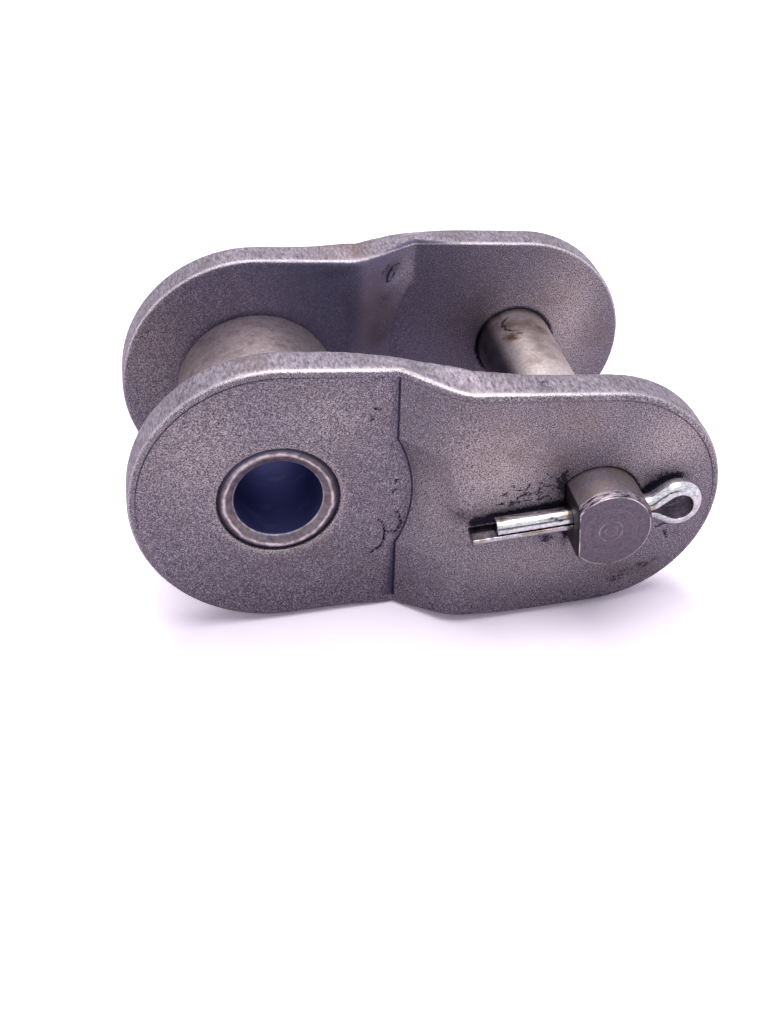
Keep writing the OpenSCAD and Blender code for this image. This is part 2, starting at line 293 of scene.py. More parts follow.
colour = add(tree, "Mix", {0: tone, 6: colour, 7: srgb("#6d574c")}, data_type="RGBA").outputs[2]
# Dark marks get ragged edges and a soft haze at half strength; round the pins this haze is painted shade.
tone = add(tree, "MapRange", {0: shear, 1: 0.3, 2: 0.7, 3: -0.45, 4: 0.45}).outputs[0]
tone = add(tree, "Math", {0: mark[1], 1: tone}, operation="ADD").outputs[0]
tone = add(tree, "MapRange", {0: tone, 1: 0.5, 2: 0.75, 4: 0.9}).outputs[0]
haze = add(tree, "Math", {0: mark[1], 1: 0.55}, operation="MULTIPLY").outputs[0]
tone = add(tree, "Math", {0: tone, 1: haze}, operation="MAXIMUM").outputs[0]
colour = add(tree, "Mix", {0: tone, 6: colour, 7: srgb("#201e33")}, data_type="RGBA").outputs[2]
# Painted shade darkens the fold of the crank.
colour = add(tree, "Mix", {0: area[2], 6: colour, 7: srgb("#37334d")}, data_type="RGBA").outputs[2]

# The fold is a thin dark line along the crease, and cracks and tool marks are crooked dark lines.
tone = stripe(tree, lines[1], 0.08, 0.08, 0.26)
in_crease = add(tree, "MapRange", {0: area[2], 1: 0.08, 2: 0.25, 4: 0.85}).outputs[0]
tone = add(tree, "Math", {0: tone, 1: in_crease}, operation="MULTIPLY").outputs[0]
colour = add(tree, "Mix", {0: tone, 6: colour, 7: srgb("#221f36")}, data_type="RGBA").outputs[2]
ragged = add(tree, "MapRange", {0: shear, 1: 0.3, 2: 0.7, 3: -0.22, 4: 0.22}).outputs[0]
thinned = add(tree, "Math", {0: ragged, 1: 0.5}, operation="MULTIPLY").outputs[0]
crack = add(tree, "Math", {0: lines[2], 1: ragged}, operation="ADD").outputs[0]
crack = add(tree, "MapRange", {0: crack, 1: 0.1, 2: 0.28, 3: 1.0, 4: 0.0}).outputs[0]
scratch = add(tree, "Math", {0: far_from["Alpha"], 1: thinned}, operation="ADD").outputs[0]
scratch = add(tree, "MapRange", {0: scratch, 1: 0.12, 2: 0.3, 3: 0.9, 4: 0.0}).outputs[0]
crack = add(tree, "Math", {0: crack, 1: scratch}, operation="MAXIMUM").outputs[0]
colour = add(tree, "Mix", {0: crack, 6: colour, 7: srgb("#221c2a")}, data_type="RGBA").outputs[2]

# A painted shade line follows the outline just inside the rounded edge, and the top edges are rubbed bright
# under a painted highlight.
tone = stripe(tree, lines[0], 1.3, 0.04, 0.2)
tone = add(tree, "Math", {0: tone, 1: marks["Alpha"]}, operation="MULTIPLY").outputs[0]
colour = add(tree, "Mix", {0: tone, 6: colour, 7: srgb("#2b2636")}, data_type="RGBA").outputs[2]
# The rubbed edge is painted near white, partly wear and partly painted highlight.
tone = add(tree, "MapRange", {0: shear, 1: 0.3, 2: 0.7, 3: 0.18, 4: 0.38}).outputs[0]
tone = stripe(tree, lines[0], tone, 0.04, 0.26)
tone = add(tree, "Math", {0: tone, 1: area[0]}, operation="MULTIPLY").outputs[0]
rub_and_highlight = add(tree, "MapRange", {0: speck, 1: 0.4, 2: 0.56, 3: 0.25}).outputs[0]
rub_and_highlight = add(tree, "Math", {0: tone, 1: rub_and_highlight}, operation="MULTIPLY").outputs[0]
colour = add(tree, "Mix", {0: rub_and_highlight, 6: colour, 7: srgb("#fff4f6")}, data_type="RGBA").outputs[2]
tree.links.new(colour, shader.inputs["Base Color"])
rough = add(tree, "MapRange", {0: speck, 1: 0.3, 2: 0.7, 3: 0.44, 4: 0.58}).outputs[0]
tree.links.new(rough, shader.inputs["Roughness"])
height = add(tree, "Mix", {0: area[1], 2: speck, 3: shear}, data_type="FLOAT").outputs[0]
height = add(tree, "Math", {0: height, 1: crack}, operation="SUBTRACT").outputs[0]
bump = add(tree, "Bump", {"Height": height, "Strength": 0.4, "Distance": 0.1 * MM})
tree.links.new(bump.outputs[0], shader.inputs["Normal"])

near_outer = {
    "pale": [(34, 9, 8, 9, 0.7), (62, 11, 7, 7, 0.5), (-12, 10, 9, 10, 0.3), (8, 15, 8, 6, 0.25),
             (25, 1, 3, 9, 0.4), (40, -11, 12, 5, 0.3), (46, 16, 9, 4, 0.3)],
    "brown": [(36, 13, 8, 6, 0.45), (46, 17, 6, 4, 0.3), (4, -9.5, 6, 2, 0.35), (28.4, -0.4, 2.4, 1.6, 0.5),
              (58, -14.6, 5, 2.6, 0.5), (30, 20, 4, 3, 0.4), (44, 9, 4, 3, 0.4)],
    # Round the connecting pin, above the split pin's legs and round its eye, these dark marks are painted
    # shadow over dirt; the rest are dirt.
    "dark": [(28.4, -0.4, 1.8, 1.2, 0.62), (42.8, -6, 1.5, 1.1, 0.9), (44.6, 4.8, 1.5, 3.2, 0.9),
             (46, -5.8, 0.9, 2.4, 0.85),
             (42.8, 3.8, 2.6, 3, 0.48), (37.5, 2, 3.5, 1.8, 0.28), (61.5, 4.6, 4, 2.2, 0.55),
             (65, 4.6, 1.6, 0.8, 0.45), (63.4, -0.6, 2, 1.1, 0.6),
             (57.5, -14.8, 5, 2.4, 0.5), (60.4, -13.6, 2, 0.9, 0.72), (55.8, -16, 2, 1.0, 0.75),
             (62.5, -12.6, 1.4, 0.6, 0.65),
             (65.4, -7, 1.0, 1.4, 0.35), (-17, -7, 1.4, 0.9, 0.45), (-6, -18, 3, 1.6, 0.4),
             (9, -12, 5, 1.2, 0.35), (41.2, 3.3, 0.5, 0.3, 0.9)],
    # Bands of painted shadow and dirt above the split pin's legs and above its eye.
    "smear_and_shadow": [[(30.4, -1.5), (33.9, -0.9), (40.3, -0.1), (44.5, 0.6)],
              [(58.6, 1.9), (60.2, 3.1), (61.9, 3.9), (63.8, 4.2)]],
    "crack": [[(19.4, -4.1), (20, -5.6), (20.2, -6.4), (19.4, -8), (17.5, -8), (17.2, -9.9), (16.9, -10.7),
               (15.1, -12.1)],
              [(16.1, -5.2), (17, -5.9), (17.3, -7.2), (17.5, -8)], [(18.7, 0), (19.2, 0.5)],
              [(19, 2.1), (19.3, 2.7)],
              [(15.4, 16.3), (16.2, 16)], [(61.6, -5.7), (63.6, -5)], [(63.2, -6.6), (63.9, -8.3)]],
    "scratch": [[(36.6, 4.8), (38.4, 3.5), (40.4, 2.8)], [(35, 3.7), (36.7, 1.3)], [(38, 3.1), (37.3, 1.5)],
                [(38.6, 5.2), (39.4, 3.4)],
                [(38.6, 2.4), (39.9, 1.5)], [(40.2, 5.3), (42.5, 4.4)], [(34, 1.8), (35.3, 1.2)],
                [(42.2, 6.6), (43.5, 5)], [(40.8, 2.3), (42.6, 2.2)],
                [(40.6, 4.1), (41.2, 3.2)], [(44.7, 7.5), (44.9, 5.3)], [(14.5, 14.3), (14.9, 14.9)]],
    "dent": [(19, 0.2, 0.5, 0.5, 0.15), (15.8, 16.1, 0.6, 0.4, 0.1)], "flake": [(41.4, 27, 1.3, 0.9, 1.0)],
    "rust": [(-4, 19, 4, 4, 0.4), (34, 24, 5, 3, 0.35)]}
near_inner = {
    "pale": [], "brown": [(25, 4, 5, 8, 0.5), (44, 10, 6, 4, 0.4)], "dark": [(12, -16, 5, 2, 0.4)],
    "crack": [], "scratch": [[(30, -8), (31.4, -9.6)]], "dent": []}
far_outer = {
    "pale": [(30, -6, 8, 9, 0.6), (60, 8, 6, 8, 0.4)], "brown": [(40, -10, 8, 5, 0.5), (-6, 12, 6, 4, 0.4)],
    "dark": [(24, 12, 1.2, 0.8, 0.7), (8, -18, 5, 2, 0.5)],
    "crack": [], "scratch": [[(15, -12), (16.4, -14)], [(42, 8), (43.5, 6.2)]], "dent": [], "flake": [],
    "smear_and_shadow": [],
    "rust": [(18, 19, 7, 4, 0.5), (40, 27, 4, 4, 0.4)]}
far_inner = {
    "pale": [(28.8, 17, 1.6, 3.5, 0.6), (61, 6, 6, 12, 0.8), (60, -8, 6, 6, 0.4), (-18, 6, 5, 12, 0.3)],
    "brown": [(22, 10, 5, 9, 0.5), (42, 4, 6, 6, 0.35), (66, 2, 3, 3.5, 0.6), (58, 10, 5, 6, 0.35),
              (-18, 9, 6, 10, 0.28)],
    # Beside the bend and just left of the pin these dark marks are painted shade; the others are stains and
    # a dent.
    "dark": [(14.5, 20.6, 4, 1.0, 0.4), (25.4, 17.2, 1.0, 1.0, 0.7), (43.4, 2, 1.6, 6, 0.4),
             (18, 12, 2, 6, 0.42), (23, 6, 2.5, 3, 0.4), (24, 13, 1.5, 2, 0.4)],
    "crack": [[(24.9, 16.4), (25.2, 17.4), (26.2, 18.6)]],
    "scratch": [[(25.7, 16.6), (26.8, 17.2)], [(24, 18.6), (25.2, 19.8)], [(26.6, 19.2), (27.6, 18.9)]],
    "dent": [(25.9, 17.6, 1.6, 1.4, 0.5)]}
for node, name, out, lift, outer, inner in (
        ("near_link_plate", "near_plate", -1, (-0.75, 0.0), near_outer, near_inner),
        ("far_link_plate", "far_plate", 1, (0.0, 0.7), far_outer, far_inner)):
    plate = merged_copy(node, name)
    soft_skin(plate, 0.35, 2)
    weather_plate(plate, out, lift, outer, inner)
    plate.data.materials.clear()
    plate.data.materials.append(shot_peened_steel)
    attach(plate, "link")
    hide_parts(node)


# Bush. A plain sleeve of hardened steel, turned, with a chamfer outside and a countersink inside at
# each end. It is pressed through both plates and sits a hair below their faces.
def turned_piece(name, profile, bevels, steps=160):
    """A ring turned about the Y axis: profile is (radius, y) in mm, bevels maps a corner to its radius."""
    bm = bmesh.new()
    corners = [bm.verts.new((r * MM, y * MM, 0)) for r, y in profile]
    edges = [bm.edges.new((a, b)) for a, b in zip(corners, corners[1:] + corners[:1])]
    bmesh.ops.spin(bm, geom=corners + edges, axis=(0, 1, 0), cent=(0, 0, 0), angle=2 * math.pi, steps=steps,
                   use_merge=True)
    bmesh.ops.remove_doubles(bm, verts=bm.verts, dist=0.0005 * MM)
    bmesh.ops.recalc_face_normals(bm, faces=bm.faces)
    for corner, width in bevels.items():
        r, y = profile[corner]
        on_corner = {v for v in bm.verts if abs(math.hypot(v.co.x, v.co.z) / MM - r) < 0.002
                     and abs(v.co.y / MM - y) < 0.002}
        ring = [e for e in bm.edges if on_corner.issuperset(e.verts)]
        bmesh.ops.bevel(bm, geom=ring, offset=width * MM, affect="EDGES", segments=4, profile=0.5,
                        material=-1)
    for f in bm.faces:
        f.smooth = True
    return to_object(bm, name)


END = 22.125
bush = turned_piece("bush_sleeve", [(10, -END + 0.8), (9.2, -END), (8.6, -END), (7.2, -END + 0.8),
                                    (7.2, END - 0.8),
                                    (8.6, END), (9.2, END), (10, END - 0.8)],
                    {0: 0.15, 1: 0.25, 2: 0.25, 3: 0.15, 4: 0.15, 5: 0.25, 6: 0.25, 7: 0.15})
# Turned hardened steel: fine rings round the bright end face, and a bore painted blue for the shade inside
# it, streaked with oil.
turned_steel, tree, shader = new_material("turned_hardened_steel", 1.0)
spot = add(tree, "TexCoord").outputs["Object"]
flat = add(tree, "VectorMath", {0: spot, 1: (1.0, 0.0, 1.0)}, operation="MULTIPLY").outputs[0]
radius = add(tree, "VectorMath", {0: flat}, operation="LENGTH").outputs["Value"]
rings = add(tree, "TexNoise", {"W": radius, "Scale": 1 / (0.2 * MM), "Detail": 2.0},
            noise_dimensions="1D").outputs[0]
speck = add(tree, "TexNoise", {"Vector": spot, "Scale": 1 / (0.9 * MM), "Detail": 3.0}).outputs[0]
tone = add(tree, "MapRange", {0: speck, 1: 0.3, 2: 0.7}).outputs[0]
colour = add(tree, "Mix", {0: tone, 6: srgb("#776c72"), 7: srgb("#a89c9f")}, data_type="RGBA").outputs[2]
in_sink = add(tree, "MapRange", {0: radius, 1: 8.4 * MM, 2: 8.6 * MM, 3: 1.0, 4: 0.0}).outputs[0]
sink = add(tree, "Mix", {0: tone, 6: srgb("#675d64"), 7: srgb("#8d8287")}, data_type="RGBA").outputs[2]
colour = add(tree, "Mix", {0: in_sink, 6: colour, 7: sink}, data_type="RGBA").outputs[2]

# A painted highlight, chipped and not quite round, runs along the crest between the sink and the chamfer,
# and a fainter one along the edge of the bore. The bore is painted blue for the shade inside it and
# streaked with oil, the chamfer's crevice is painted dark violet shade, and grime lies on the chamfer.
grime = add(tree, "TexNoise", {"Vector": spot, "Scale": 1 / (4 * MM), "Detail": 3.0,
                               "Roughness": 0.6}).outputs[0]
wobble = add(tree, "MapRange", {0: grime, 1: 0.3, 2: 0.7, 3: -0.22 * MM, 4: 0.22 * MM}).outputs[0]
wobble = add(tree, "Math", {0: radius, 1: wobble}, operation="ADD").outputs[0]
chip = add(tree, "MapRange", {0: speck, 1: 0.38, 2: 0.6, 3: 0.4}).outputs[0]
for from_axis, crest_r, reach, strength in ((wobble, 8.82, 0.3, 0.85), (radius, 7.36, 0.14, 0.5)):
    crest = stripe(tree, from_axis, crest_r * MM, 0.3 * reach * MM, reach * MM, strength)
    crest = add(tree, "Math", {0: crest, 1: chip}, operation="MULTIPLY").outputs[0]
    colour = add(tree, "Mix", {0: crest, 6: colour, 7: srgb("#e4d8dc")}, data_type="RGBA").outputs[2]
# Painted shade: the bore is coloured blue for the shade inside it, with oil streaks.
in_bore = add(tree, "MapRange", {0: radius, 1: 7.21 * MM, 2: 7.3 * MM, 3: 1.0, 4: 0.0}).outputs[0]
oil_spot = add(tree, "Mapping", {"Vector": spot, "Scale": (0.5, 1.0, 0.5)}).outputs[0]
oil = add(tree, "TexNoise", {"Vector": oil_spot, "Scale": 1 / (2.5 * MM), "Detail": 3.0}).outputs[0]
oil = add(tree, "MapRange", {0: oil, 1: 0.55, 2: 0.75, 4: 0.6}).outputs[0]
bore_shade_and_oil = add(tree, "Mix", {0: oil, 6: srgb("#575a94"), 7: srgb("#7478a6")}, data_type="RGBA").outputs[2]
colour = add(tree, "Mix", {0: in_bore, 6: colour, 7: bore_shade_and_oil}, data_type="RGBA").outputs[2]
# Painted shade: the chamfer's crevice next to the plate is coloured dark violet and made hardly metallic.
in_groove = add(tree, "MapRange", {0: radius, 1: 9.25 * MM, 2: 9.45 * MM}).outputs[0]
colour = add(tree, "Mix", {0: in_groove, 6: colour, 7: srgb("#5d5876")}, data_type="RGBA").outputs[2]
grime = add(tree, "MapRange", {0: grime, 1: 0.48, 2: 0.6, 4: 0.6}).outputs[0]
on_rim = add(tree, "MapRange", {0: wobble, 1: 9.0 * MM, 2: 9.15 * MM}).outputs[0]
grime = add(tree, "Math", {0: grime, 1: on_rim}, operation="MULTIPLY").outputs[0]
colour = add(tree, "Mix", {0: grime, 6: colour, 7: srgb("#453842")}, data_type="RGBA").outputs[2]
metal = add(tree, "Mix", {0: in_groove, 2: 1.0, 3: 0.2}, data_type="FLOAT").outputs[0]
metal = add(tree, "Mix", {0: in_bore, 2: metal, 3: 0.75}, data_type="FLOAT").outputs[0]
tree.links.new(metal, shader.inputs["Metallic"])
tree.links.new(colour, shader.inputs["Base Color"])
shader.inputs["Roughness"].default_value = 0.42
bump = add(tree, "Bump", {"Height": rings, "Strength": 0.3, "Distance": 0.03 * MM})
tree.links.new(bump.outputs[0], shader.inputs["Normal"])
bush.data.materials.append(turned_steel)
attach(bush, "link")
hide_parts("bush")


# Roller. A hardened steel sleeve that turns freely on the bush between the plates, tumbled after
# heat treatment, so its edges are round and its surface is satin.
SIDE = 15.525
roller = turned_piece("roller_sleeve", [(14.29, -SIDE), (10.08, -SIDE), (10.08, SIDE), (14.29, SIDE)],
                      {0: 1.6, 1: 0.3, 2: 0.3, 3: 1.6})
# Satin hardened steel: warm grey with a fine grain round the drum and faint cloudy stains.
satin_steel, tree, shader = new_material("satin_hardened_steel", 1.0)
spot = add(tree, "TexCoord").outputs["Object"]
round_spot = add(tree, "Mapping", {"Vector": spot, "Scale": (1.0, 1.6, 1.0)}).outputs[0]
grain = add(tree, "TexNoise", {"Vector": round_spot, "Scale": 1 / (0.6 * MM), "Detail": 4.0,
                               "Roughness": 0.65}).outputs[0]
cloud = add(tree, "TexNoise", {"Vector": spot, "Scale": 1 / (2.2 * MM), "Detail": 7.0,
                               "Roughness": 0.72}).outputs[0]
tone = add(tree, "MapRange", {0: grain, 1: 0.3, 2: 0.7}).outputs[0]
colour = add(tree, "Mix", {0: tone, 6: srgb("#9d8f90"), 7: srgb("#c6b6b8")}, data_type="RGBA").outputs[2]
tone = add(tree, "MapRange", {0: cloud, 1: 0.47, 2: 0.66, 4: 0.7}).outputs[0]
colour = add(tree, "Mix", {0: tone, 6: colour, 7: srgb("#7f7068")}, data_type="RGBA").outputs[2]
tree.links.new(colour, shader.inputs["Base Color"])
shader.inputs["Roughness"].default_value = 0.45
bump = add(tree, "Bump", {"Height": grain, "Strength": 0.15, "Distance": 0.05 * MM})
tree.links.new(bump.outputs[0], shader.inputs["Normal"])
roller.data.materials.append(satin_steel)
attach(roller, "roller")
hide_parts("roller")


# Connecting pin. A hardened and ground steel pin with a flat at one end that sits in the D-shaped
# hole of the near plate. It slides out once the split pin is drawn from its cross hole.
LEAN = math.radians(5)
pin = merged_copy("connecting_pin", "pin_rod")
bm = bmesh.new()
bm.from_mesh(pin.data)
for y in (-23, 29):
    # A ring of vertices just inside each plate keeps the long facets of the pin evenly shaded.
    bmesh.ops.bisect_plane(bm, geom=bm.verts[:] + bm.edges[:] + bm.faces[:], plane_co=(0, y * MM, 0),
                           plane_no=(0, 1, 0))
bm.to_mesh(pin.data)
bm.free()
bevel = pin.modifiers.new("edges", "BEVEL")
bevel.width = 0.12 * MM
bevel.segments = 2
bevel.limit_method = "ANGLE"
bevel.angle_limit = math.radians(25)
apply_modifiers(pin)
pin.data.shade_smooth()
pin.data.set_sharp_from_angle(angle=math.radians(30))
# Ground steel: smooth and pale between the plates, darker and turned rough on the end outside them.
ground_steel, tree, shader = new_material("ground_hardened_steel", 1.0)
spot = add(tree, "TexCoord").outputs["Object"]
about = add(tree, "VectorMath", {0: spot, 1: (PITCH * MM, 0.0, 0.0)}, operation="SUBTRACT").outputs[0]
about = add(tree, "VectorRotate", {"Vector": about, "Angle": LEAN}, rotation_type="Y_AXIS").outputs[0]
axes = add(tree, "SeparateXYZ", {0: about}).outputs
flat = add(tree, "VectorMath", {0: about, 1: (1.0, 0.0, 1.0)}, operation="MULTIPLY").outputs[0]
radius = add(tree, "VectorMath", {0: flat}, operation="LENGTH").outputs["Value"]
near_side = add(tree, "MapRange", {0: axes[1], 1: -23.6 * MM, 2: -24 * MM}).outputs[0]
far_side = add(tree, "MapRange", {0: axes[1], 1: 29.6 * MM, 2: 30 * MM}).outputs[0]
outside = add(tree, "Math", {0: near_side, 1: far_side}, operation="MAXIMUM").outputs[0]
near_face = add(tree, "MapRange", {0: axes[1], 1: -37.4 * MM, 2: -37.5 * MM}).outputs[0]
far_face = add(tree, "MapRange", {0: axes[1], 1: 31.65 * MM, 2: 31.75 * MM}).outputs[0]
on_end = add(tree, "Math", {0: near_face, 1: far_face}, operation="MAXIMUM").outputs[0]
broken = add(tree, "TexNoise", {"Vector": spot, "Scale": 1 / (1.6 * MM), "Detail": 3.0}).outputs[0]
speck = add(tree, "TexNoise", {"Vector": spot, "Scale": 1 / (0.5 * MM), "Detail": 3.0,
                               "Roughness": 0.65}).outputs[0]
cloud = add(tree, "TexNoise", {"Vector": spot, "Scale": 1 / (5 * MM), "Detail": 4.0}).outputs[0]
grey = add(tree, "MapRange", {0: speck, 1: 0.3, 2: 0.7}).outputs[0]
pale = add(tree, "Mix", {0: grey, 6: srgb("#cabab7"), 7: srgb("#eee2de")}, data_type="RGBA").outputs[2]

# Brown stains lie on top, most of them near the far plate, beside one bent dark stain. The side that looks
# to the roller is painted dark, a painted reflection of the dark gap beside the roller.
far_end = add(tree, "MapRange", {0: axes[1], 1: 4 * MM, 2: 18 * MM, 3: 0.25, 4: 0.7}).outputs[0]
tone = add(tree, "MapRange", {0: cloud, 1: 0.52, 2: 0.68}).outputs[0]
tone = add(tree, "Math", {0: tone, 1: far_end}, operation="MULTIPLY").outputs[0]
ragged = add(tree, "MapRange", {0: broken, 1: 0.3, 2: 0.7, 3: -0.8 * MM, 4: 0.8 * MM}).outputs[0]
for at, reach, strength in (((47.6, 14.9, 6.3), 2.0, 0.95), ((48.8, 15.1, 6.8), 1.2, 0.8),
                            ((53.3, 16.6, 6.7), 2.2, 0.7), ((52.2, 18.8, 7), 1.6, 0.5),
                            ((51.4, 9, 7.1), 1.8, 0.5), ((52.8, 6, 7), 2.2, 0.4), ((49, 5, 6.9), 1.8, 0.4)):
    smear_and_shadow = add(tree, "VectorMath", {0: spot, 1: Vector(at) * MM}, operation="DISTANCE").outputs["Value"]
    smear_and_shadow = add(tree, "Math", {0: smear_and_shadow, 1: ragged}, operation="ADD").outputs[0]
    smear_and_shadow = add(tree, "MapRange", {0: smear_and_shadow, 1: 0.3 * reach * MM, 2: 1.1 * reach * MM, 3: strength,
                                   4: 0.0}).outputs[0]
    tone = add(tree, "Math", {0: tone, 1: smear_and_shadow}, operation="MAXIMUM").outputs[0]
pale = add(tree, "Mix", {0: tone, 6: pale, 7: srgb("#7a5a46")}, data_type="RGBA").outputs[2]
bent = add(tree, "VectorMath", {0: spot, 1: (50 * MM, 19 * MM, 7 * MM)},
           operation="DISTANCE").outputs["Value"]
ragged = add(tree, "MapRange", {0: broken, 1: 0.3, 2: 0.7, 3: 2.6 * MM, 4: 3.4 * MM}).outputs[0]
bent = stripe(tree, bent, ragged, 0.1 * MM, 0.4 * MM, 0.9)
tone = add(tree, "MapRange", {0: axes[0], 1: -2.2 * MM, 2: -1.2 * MM, 3: 1.0, 4: 0.0}).outputs[0]
bent = add(tree, "Math", {0: bent, 1: tone}, operation="MULTIPLY").outputs[0]
# Painted reflection: the side towards the roller is darkened.
dark_side_reflection = add(tree, "MapRange", {0: axes[0], 1: -5.6 * MM, 2: -4.2 * MM, 3: 0.8, 4: 0.0}).outputs[0]
bent = add(tree, "Math", {0: bent, 1: dark_side_reflection}, operation="MAXIMUM").outputs[0]
pale = add(tree, "Mix", {0: bent, 6: pale, 7: srgb("#39364c")}, data_type="RGBA").outputs[2]

# The end outside the plate is duller, with warm clouds on its side.
dull = add(tree, "Mix", {0: grey, 6: srgb("#5f5763"), 7: srgb("#7b717c")}, data_type="RGBA").outputs[2]
tone = add(tree, "MapRange", {0: cloud, 1: 0.4, 2: 0.65, 4: 0.6}).outputs[0]
side = add(tree, "Mix", {0: grey, 6: srgb("#847a86"), 7: srgb("#a3989f")}, data_type="RGBA").outputs[2]
side = add(tree, "Mix", {0: tone, 6: side, 7: srgb("#a08f80")}, data_type="RGBA").outputs[2]

# The taper was left rough by the lathe: dark and light lines run round it.
turned_spot = add(tree, "Mapping", {"Vector": about, "Scale": (1.0, 6.0, 1.0)}).outputs[0]
turning = add(tree, "TexNoise", {"Vector": turned_spot, "Scale": 1 / (1.4 * MM), "Detail": 3.0,
                                 "Roughness": 0.7}).outputs[0]
tone = add(tree, "MapRange", {0: turning, 1: 0.4, 2: 0.62}).outputs[0]
rough_turned = add(tree, "Mix", {0: tone, 6: srgb("#2c2732"), 7: srgb("#a3969f")},
                   data_type="RGBA").outputs[2]
on_taper = add(tree, "MapRange", {0: axes[1], 1: -36 * MM, 2: -36.5 * MM}).outputs[0]
side = add(tree, "Mix", {0: on_taper, 6: side, 7: rough_turned}, data_type="RGBA").outputs[2]

# The end face has faint rings about its middle, and a painted highlight runs along the burr at its edge and
# along the edge of the flat.
broken = add(tree, "MapRange", {0: broken, 1: 0.35, 2: 0.6}).outputs[0]
ring = add(tree, "TexNoise", {"W": radius, "Scale": 1 / (0.55 * MM), "Detail": 2.0},
           noise_dimensions="1D").outputs[0]
tone = add(tree, "MapRange", {0: ring, 1: 0.52, 2: 0.68, 4: 0.2}).outputs[0]
end = add(tree, "Mix", {0: tone, 6: dull, 7: srgb("#a2959f")}, data_type="RGBA").outputs[2]
for ring_r, strength in ((1.0, 0.45), (1.9, 0.5)):
    tone = stripe(tree, radius, ring_r * MM, 0.05 * MM, 0.2 * MM, strength)
    tone = add(tree, "Math", {0: tone, 1: broken}, operation="MULTIPLY").outputs[0]
    end = add(tree, "Mix", {0: tone, 6: end, 7: srgb("#c4b8bf")}, data_type="RGBA").outputs[2]
edge = add(tree, "MapRange", {0: radius, 1: 6.36 * MM, 2: 6.46 * MM}).outputs[0]
flat_edge = add(tree, "MapRange", {0: axes[0], 1: -4.95 * MM, 2: -5.05 * MM}).outputs[0]
flat_edge = add(tree, "Math", {0: flat_edge, 1: near_face}, operation="MULTIPLY").outputs[0]
edge = add(tree, "Math", {0: edge, 1: flat_edge}, operation="MAXIMUM").outputs[0]
edge = add(tree, "Math", {0: edge, 1: broken}, operation="MULTIPLY").outputs[0]
end = add(tree, "Mix", {0: edge, 6: end, 7: srgb("#e6dade")}, data_type="RGBA").outputs[2]
side = add(tree, "Mix", {0: on_end, 6: side, 7: end}, data_type="RGBA").outputs[2]
# Painted shade: the flat at the near end is coloured near black.
on_flat = add(tree, "MapRange", {0: axes[0], 1: -5.0 * MM, 2: -5.1 * MM, 4: 0.85}).outputs[0]
off_end = add(tree, "Math", {0: near_side, 1: on_end}, operation="SUBTRACT").outputs[0]
on_flat = add(tree, "Math", {0: on_flat, 1: off_end}, operation="MULTIPLY").outputs[0]
side = add(tree, "Mix", {0: on_flat, 6: side, 7: srgb("#26222c")}, data_type="RGBA").outputs[2]
colour = add(tree, "Mix", {0: outside, 6: pale, 7: side}, data_type="RGBA").outputs[2]
tree.links.new(colour, shader.inputs["Base Color"])
rough = add(tree, "MapRange", {0: outside, 3: 0.38, 4: 0.5}).outputs[0]
tree.links.new(rough, shader.inputs["Roughness"])
height = add(tree, "Mix", {0: on_taper, 2: speck, 3: turning}, data_type="FLOAT").outputs[0]
height = add(tree, "Mix", {0: on_end, 2: height, 3: ring}, data_type="FLOAT").outputs[0]
bump = add(tree, "Bump", {"Height": height, "Strength": 0.3, "Distance": 0.08 * MM})
tree.links.new(bump.outputs[0], shader.inputs["Normal"])
pin.data.materials.clear()
pin.data.materials.append(ground_steel)
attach(pin, "link")
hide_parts("connecting_pin")


# Split pin. Half-round steel wire folded into an eye and two flat-sided legs, zinc-plated. It is
# pushed through the cross hole of the connecting pin with its legs left straight.
split_pin = merged_copy("split_pin", "split_pin_wire")
soft_skin(split_pin, 0.13, 4)
x, y, z = (at_vertices(split_pin.data, "co") / MM).T
x = x - PITCH
along = x * math.cos(LEAN) + z * math.sin(LEAN)
across = z * math.cos(LEAN) - x * math.sin(LEAN)
stain = blots(along, across, [(-6.4, 1.8, 1.6, 0.5, 1.0), (-20.4, -0.1, 1.1, 0.5, 1.0),
                              (-10, -0.35, 5, 0.25, 0.9), (-4.9, 0.8, 0.6, 0.8, 0.8),
                              (8.1, 0.7, 0.6, 0.7, 0.9), (-16.6, 1.9, 0.8, 0.3, 0.8),
                              (-14, 1.6, 0.6, 0.3, 0.5)])
dark = blots(along, across, [(-21.7, -0.6, 0.35, 1.0, 0.9), (-17.6, 0.9, 0.25, 1.2, 0.7),
                             (-8.6, 1.5, 0.5, 0.22, 1.0), (-7.9, 1.3, 0.5, 0.22, 1.0),
                             (-7.2, 1.05, 0.5, 0.22, 1.0), (-18.4, 0, 0.4, 0.4, 0.7)])
# Painted shade: the back half of the bare flat at the tip of the lower leg is dark.
rear = np.clip((y - (y.min() + y.max()) / 2) / 0.4 + 0.55, 0, 1)
dark = np.maximum(dark, 0.95 * rear * hump(across, 0, 0.9) * (along < -17.3))
paint(split_pin.data, "stains_and_shade", stain, dark)
# Zinc plate: bright silver with a slight mottle, yellow-brown stains where rust comes through, and dark
# marks that are part dirt and part painted shade.
zinc_plate, tree, shader = new_material("zinc_plated_wire", 1.0)
spot = add(tree, "TexCoord").outputs["Object"]
speck = add(tree, "TexNoise", {"Vector": spot, "Scale": 1 / (0.5 * MM), "Detail": 3.0}).outputs[0]
cloud = add(tree, "TexNoise", {"Vector": spot, "Scale": 1 / (2.5 * MM), "Detail": 3.0}).outputs[0]
tone = add(tree, "MapRange", {0: speck, 1: 0.3, 2: 0.7}).outputs[0]
colour = add(tree, "Mix", {0: tone, 6: srgb("#c2c0c6"), 7: srgb("#eeecf0")}, data_type="RGBA").outputs[2]
